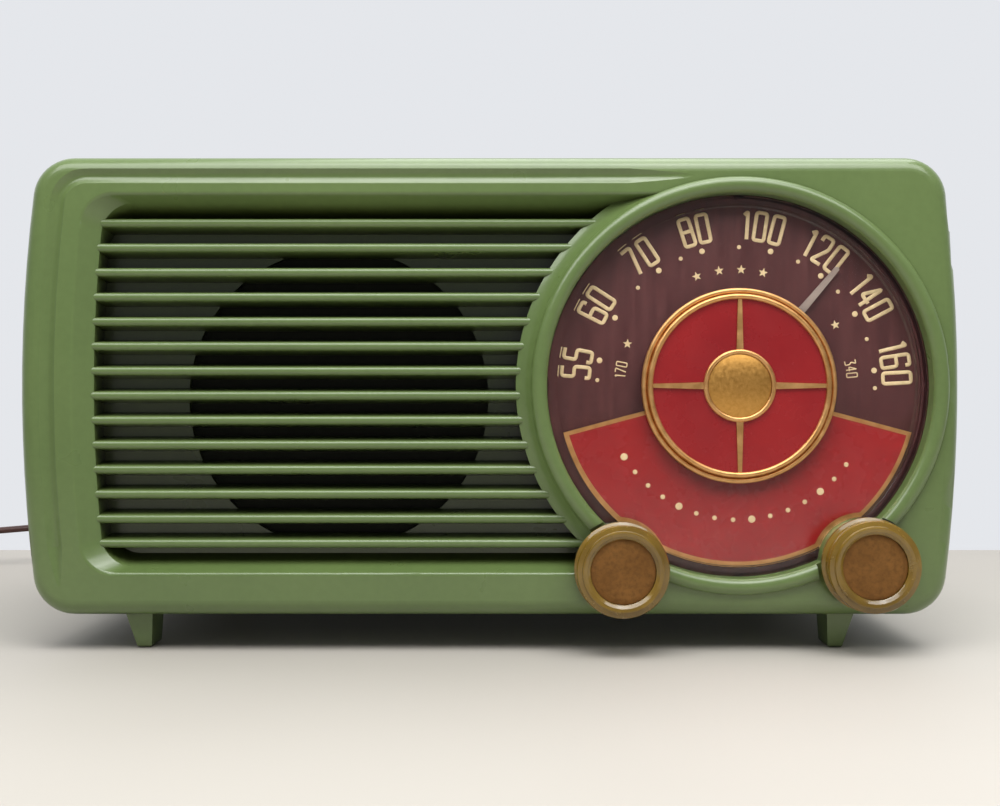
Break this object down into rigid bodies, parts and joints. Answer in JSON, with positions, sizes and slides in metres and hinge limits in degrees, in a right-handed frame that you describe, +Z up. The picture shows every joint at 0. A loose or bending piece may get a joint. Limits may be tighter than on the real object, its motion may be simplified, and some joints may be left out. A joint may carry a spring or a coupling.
{
  "type": "tabletop radio",
  "caption": "Table radio: moulded case with a louvred speaker grille, round clear dial with a pointer, knobs for tuning and volume, vented back and mains cord.",
  "frame": {"origin": "middle of the set, cord left out, on the surface that it stands on", "axes": "+X to the viewer's right along the front, +Y from the dial towards the back cover, +Z up"},
  "size_m": [0.4454, 0.2144, 0.1525],
  "materials": {
    "case_green": "glossy paint over moulded phenolic",
    "grille_cloth": "woven, dark",
    "board": "raw hardboard",
    "crystal": "clear acrylic, polished",
    "dial_red": "glossy red",
    "gold_trim": "gold lacquer",
    "button_gold": "satin gold",
    "scale_maroon": "dark maroon print",
    "pointer_grey": "translucent grey",
    "amber": "yellowed translucent amber",
    "aged_gold": "worn gold foil",
    "steel": "turned steel",
    "aluminium": "bare sheet",
    "chassis_plate": "cadmium plated sheet",
    "brass": "bare brass",
    "phenolic_brown": "moulded phenolic",
    "tube_glass": "clear glass",
    "plate_dark": "carbonised metal",
    "copper_wire": "enamelled wire",
    "wax_paper": "waxed paper",
    "cone_paper": "pressed paper pulp",
    "drive_string": "waxed cord",
    "cord_brown": "red-brown rubber",
    "plug_brown": "moulded rubber"
  },
  "bodies": {
    "body": {"cabinet": "case_green", "grille_cloth": "grille_cloth", "baffle_board": "board", "dial_crystal": "crystal", "dial_lower_panel": "dial_red", "dial_lower_trim": "gold_trim", "medallion_disc": "dial_red", "medallion_trim": "gold_trim", "medallion_button": "button_gold", "dial_scale": "scale_maroon", "capacitor_stators": "aluminium", "capacitor_frame": "chassis_plate", "capacitor_bracket": "chassis_plate", "drive_cord": "drive_string", "tuning_bushing": "brass", "volume_control": "chassis_plate", "chassis": "chassis_plate", "tube_sockets": "phenolic_brown", "tube_envelopes": "tube_glass", "tube_plates": "plate_dark", "if_cans": "aluminium", "filter_can": "aluminium", "output_core": "steel", "output_winding": "copper_wire", "oscillator_former": "phenolic_brown", "oscillator_winding": "copper_wire", "paper_capacitors": "wax_paper", "resistors": "phenolic_brown", "terminal_strip": "phenolic_brown", "speaker_gasket": "board", "speaker_frame": "steel", "speaker_cone": "cone_paper", "speaker_dust_cap": "cone_paper", "speaker_magnet": "steel", "speaker_screws": "steel", "back_cover": "board", "loop_antenna": "copper_wire", "back_screws": "steel", "chassis_screws": "steel", "cord_grommet": "plug_brown", "power_cord": "cord_brown", "cord_tail": "cord_brown", "cord_coil": "cord_brown", "cord_tie": "wax_paper", "plug_body": "plug_brown", "plug_blades": "brass"},
    "tuner": {"capacitor_rotor": "aluminium", "drive_drum": "aluminium", "pointer": "pointer_grey"},
    "tuning": {"tuning_shaft": "brass", "tuning_knob": "amber", "tuning_knob_disc": "aged_gold"},
    "volume": {"volume_shaft": "brass", "volume_knob": "amber", "volume_knob_disc": "aged_gold"}
  },
  "joints": [
    {"name": "tuner_turn", "type": "hinge", "parent": "body", "child": "tuner", "pos_m": [0.0768, -0.02, 0.0818], "axis": [0, 1, 0], "range_deg": [-130.5, 49.5]},
    {"name": "tuning_turn", "type": "hinge", "parent": "body", "child": "tuning", "pos_m": [0.1148, -0.06, 0.0276], "axis": [0, 1, 0], "range_deg": [-660, 255]},
    {"name": "volume_turn", "type": "hinge", "parent": "body", "child": "volume", "pos_m": [0.0399, -0.06, 0.0262], "axis": [0, 1, 0], "range_deg": [0, 300]}
  ],
  "couplings": [
    {"joint": "tuning_turn", "follows": "tuner_turn", "ratio": 5}
  ]
}
